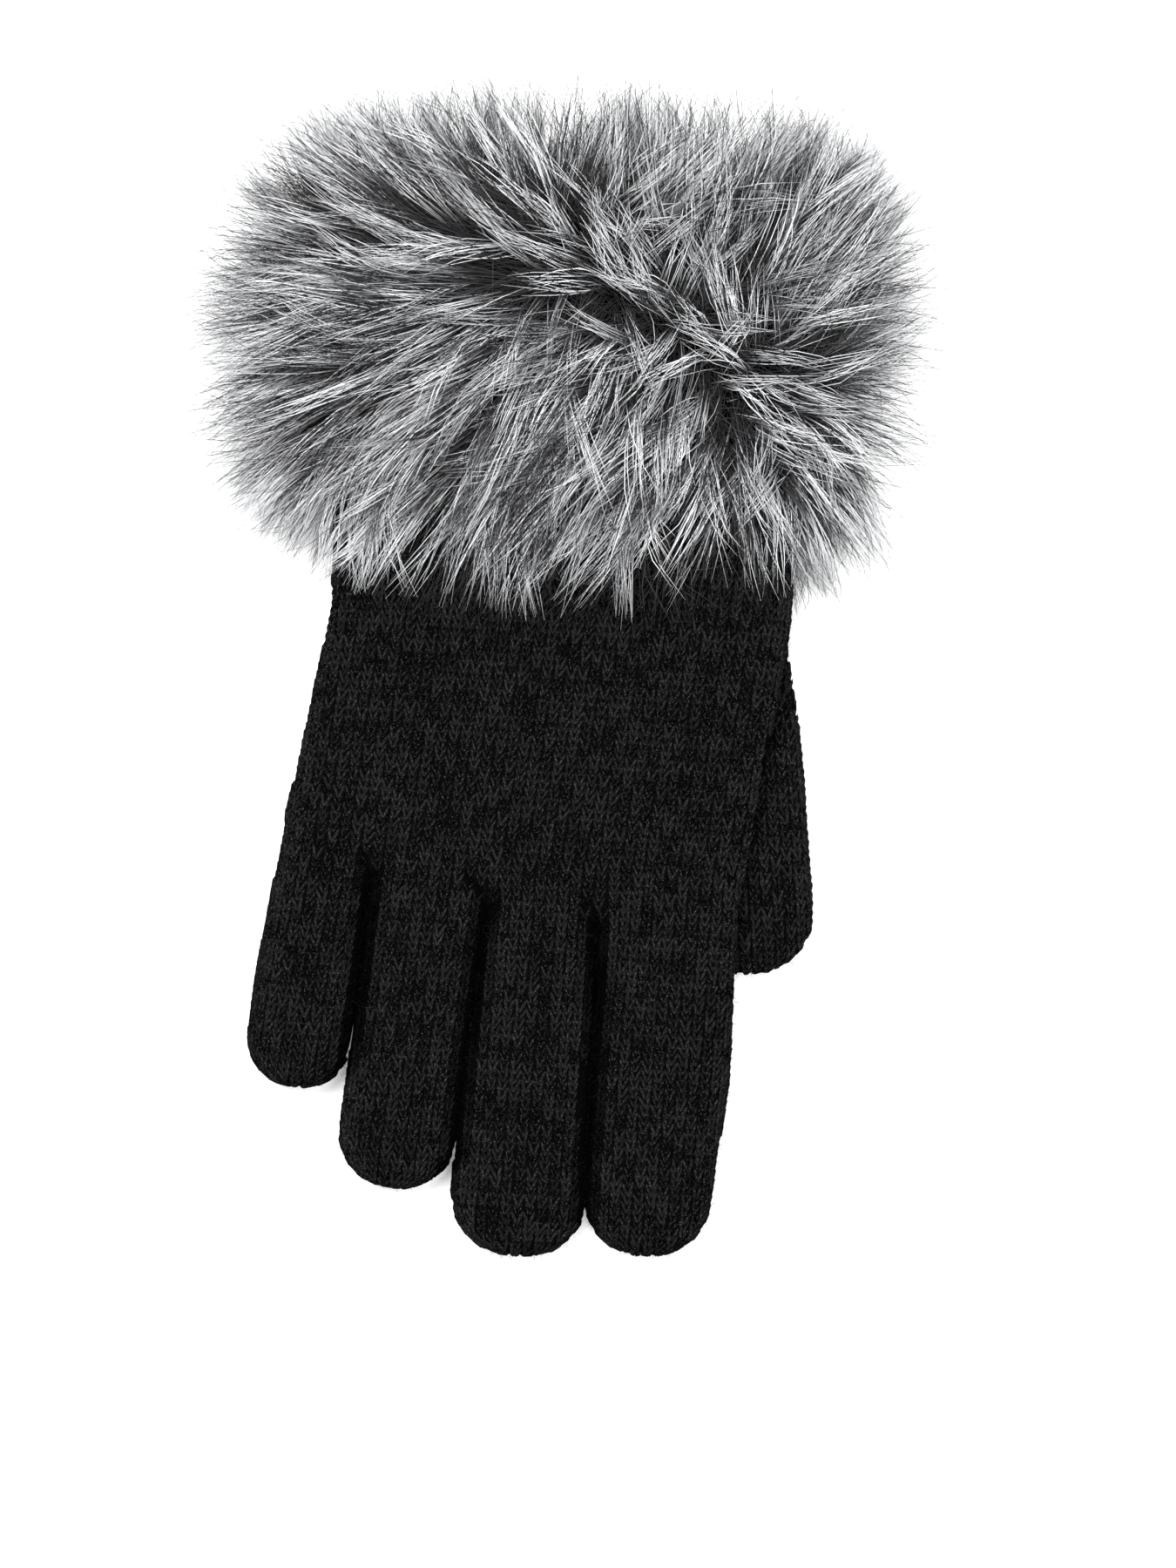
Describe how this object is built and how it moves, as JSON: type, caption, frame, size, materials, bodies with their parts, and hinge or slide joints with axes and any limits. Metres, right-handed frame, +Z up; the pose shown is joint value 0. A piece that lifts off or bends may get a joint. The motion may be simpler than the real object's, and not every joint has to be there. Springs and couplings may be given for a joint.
{
  "type": "knitted glove with fur cuff",
  "caption": "Knitted glove with separate fingers and a wide long-pile fur cuff, lying palm down with its thumb tucked beneath the palm.",
  "frame": {"origin": "a point on the table under the middle of the palm, on the flat the glove rests on", "axes": "+Y from the fingers to the cuff, +Z up out of the back of the hand, +X towards the thumb's side"},
  "size_m": [0.1615, 0.2466, 0.0441],
  "materials": {
    "black_wool_knit": "soft brushed knit, matt",
    "frosted_fur": "long pile, light tips over dark roots"
  },
  "bodies": {
    "root": {"knit_wrist": "black_wool_knit", "knit_hand": "black_wool_knit", "little_finger": "black_wool_knit", "ring_finger": "black_wool_knit", "middle_finger": "black_wool_knit", "first_finger": "black_wool_knit", "fur_back": "frosted_fur", "fur_thumb_side": "frosted_fur", "fur_palm_side": "frosted_fur", "fur_little_side": "frosted_fur"}
  },
  "joints": []
}
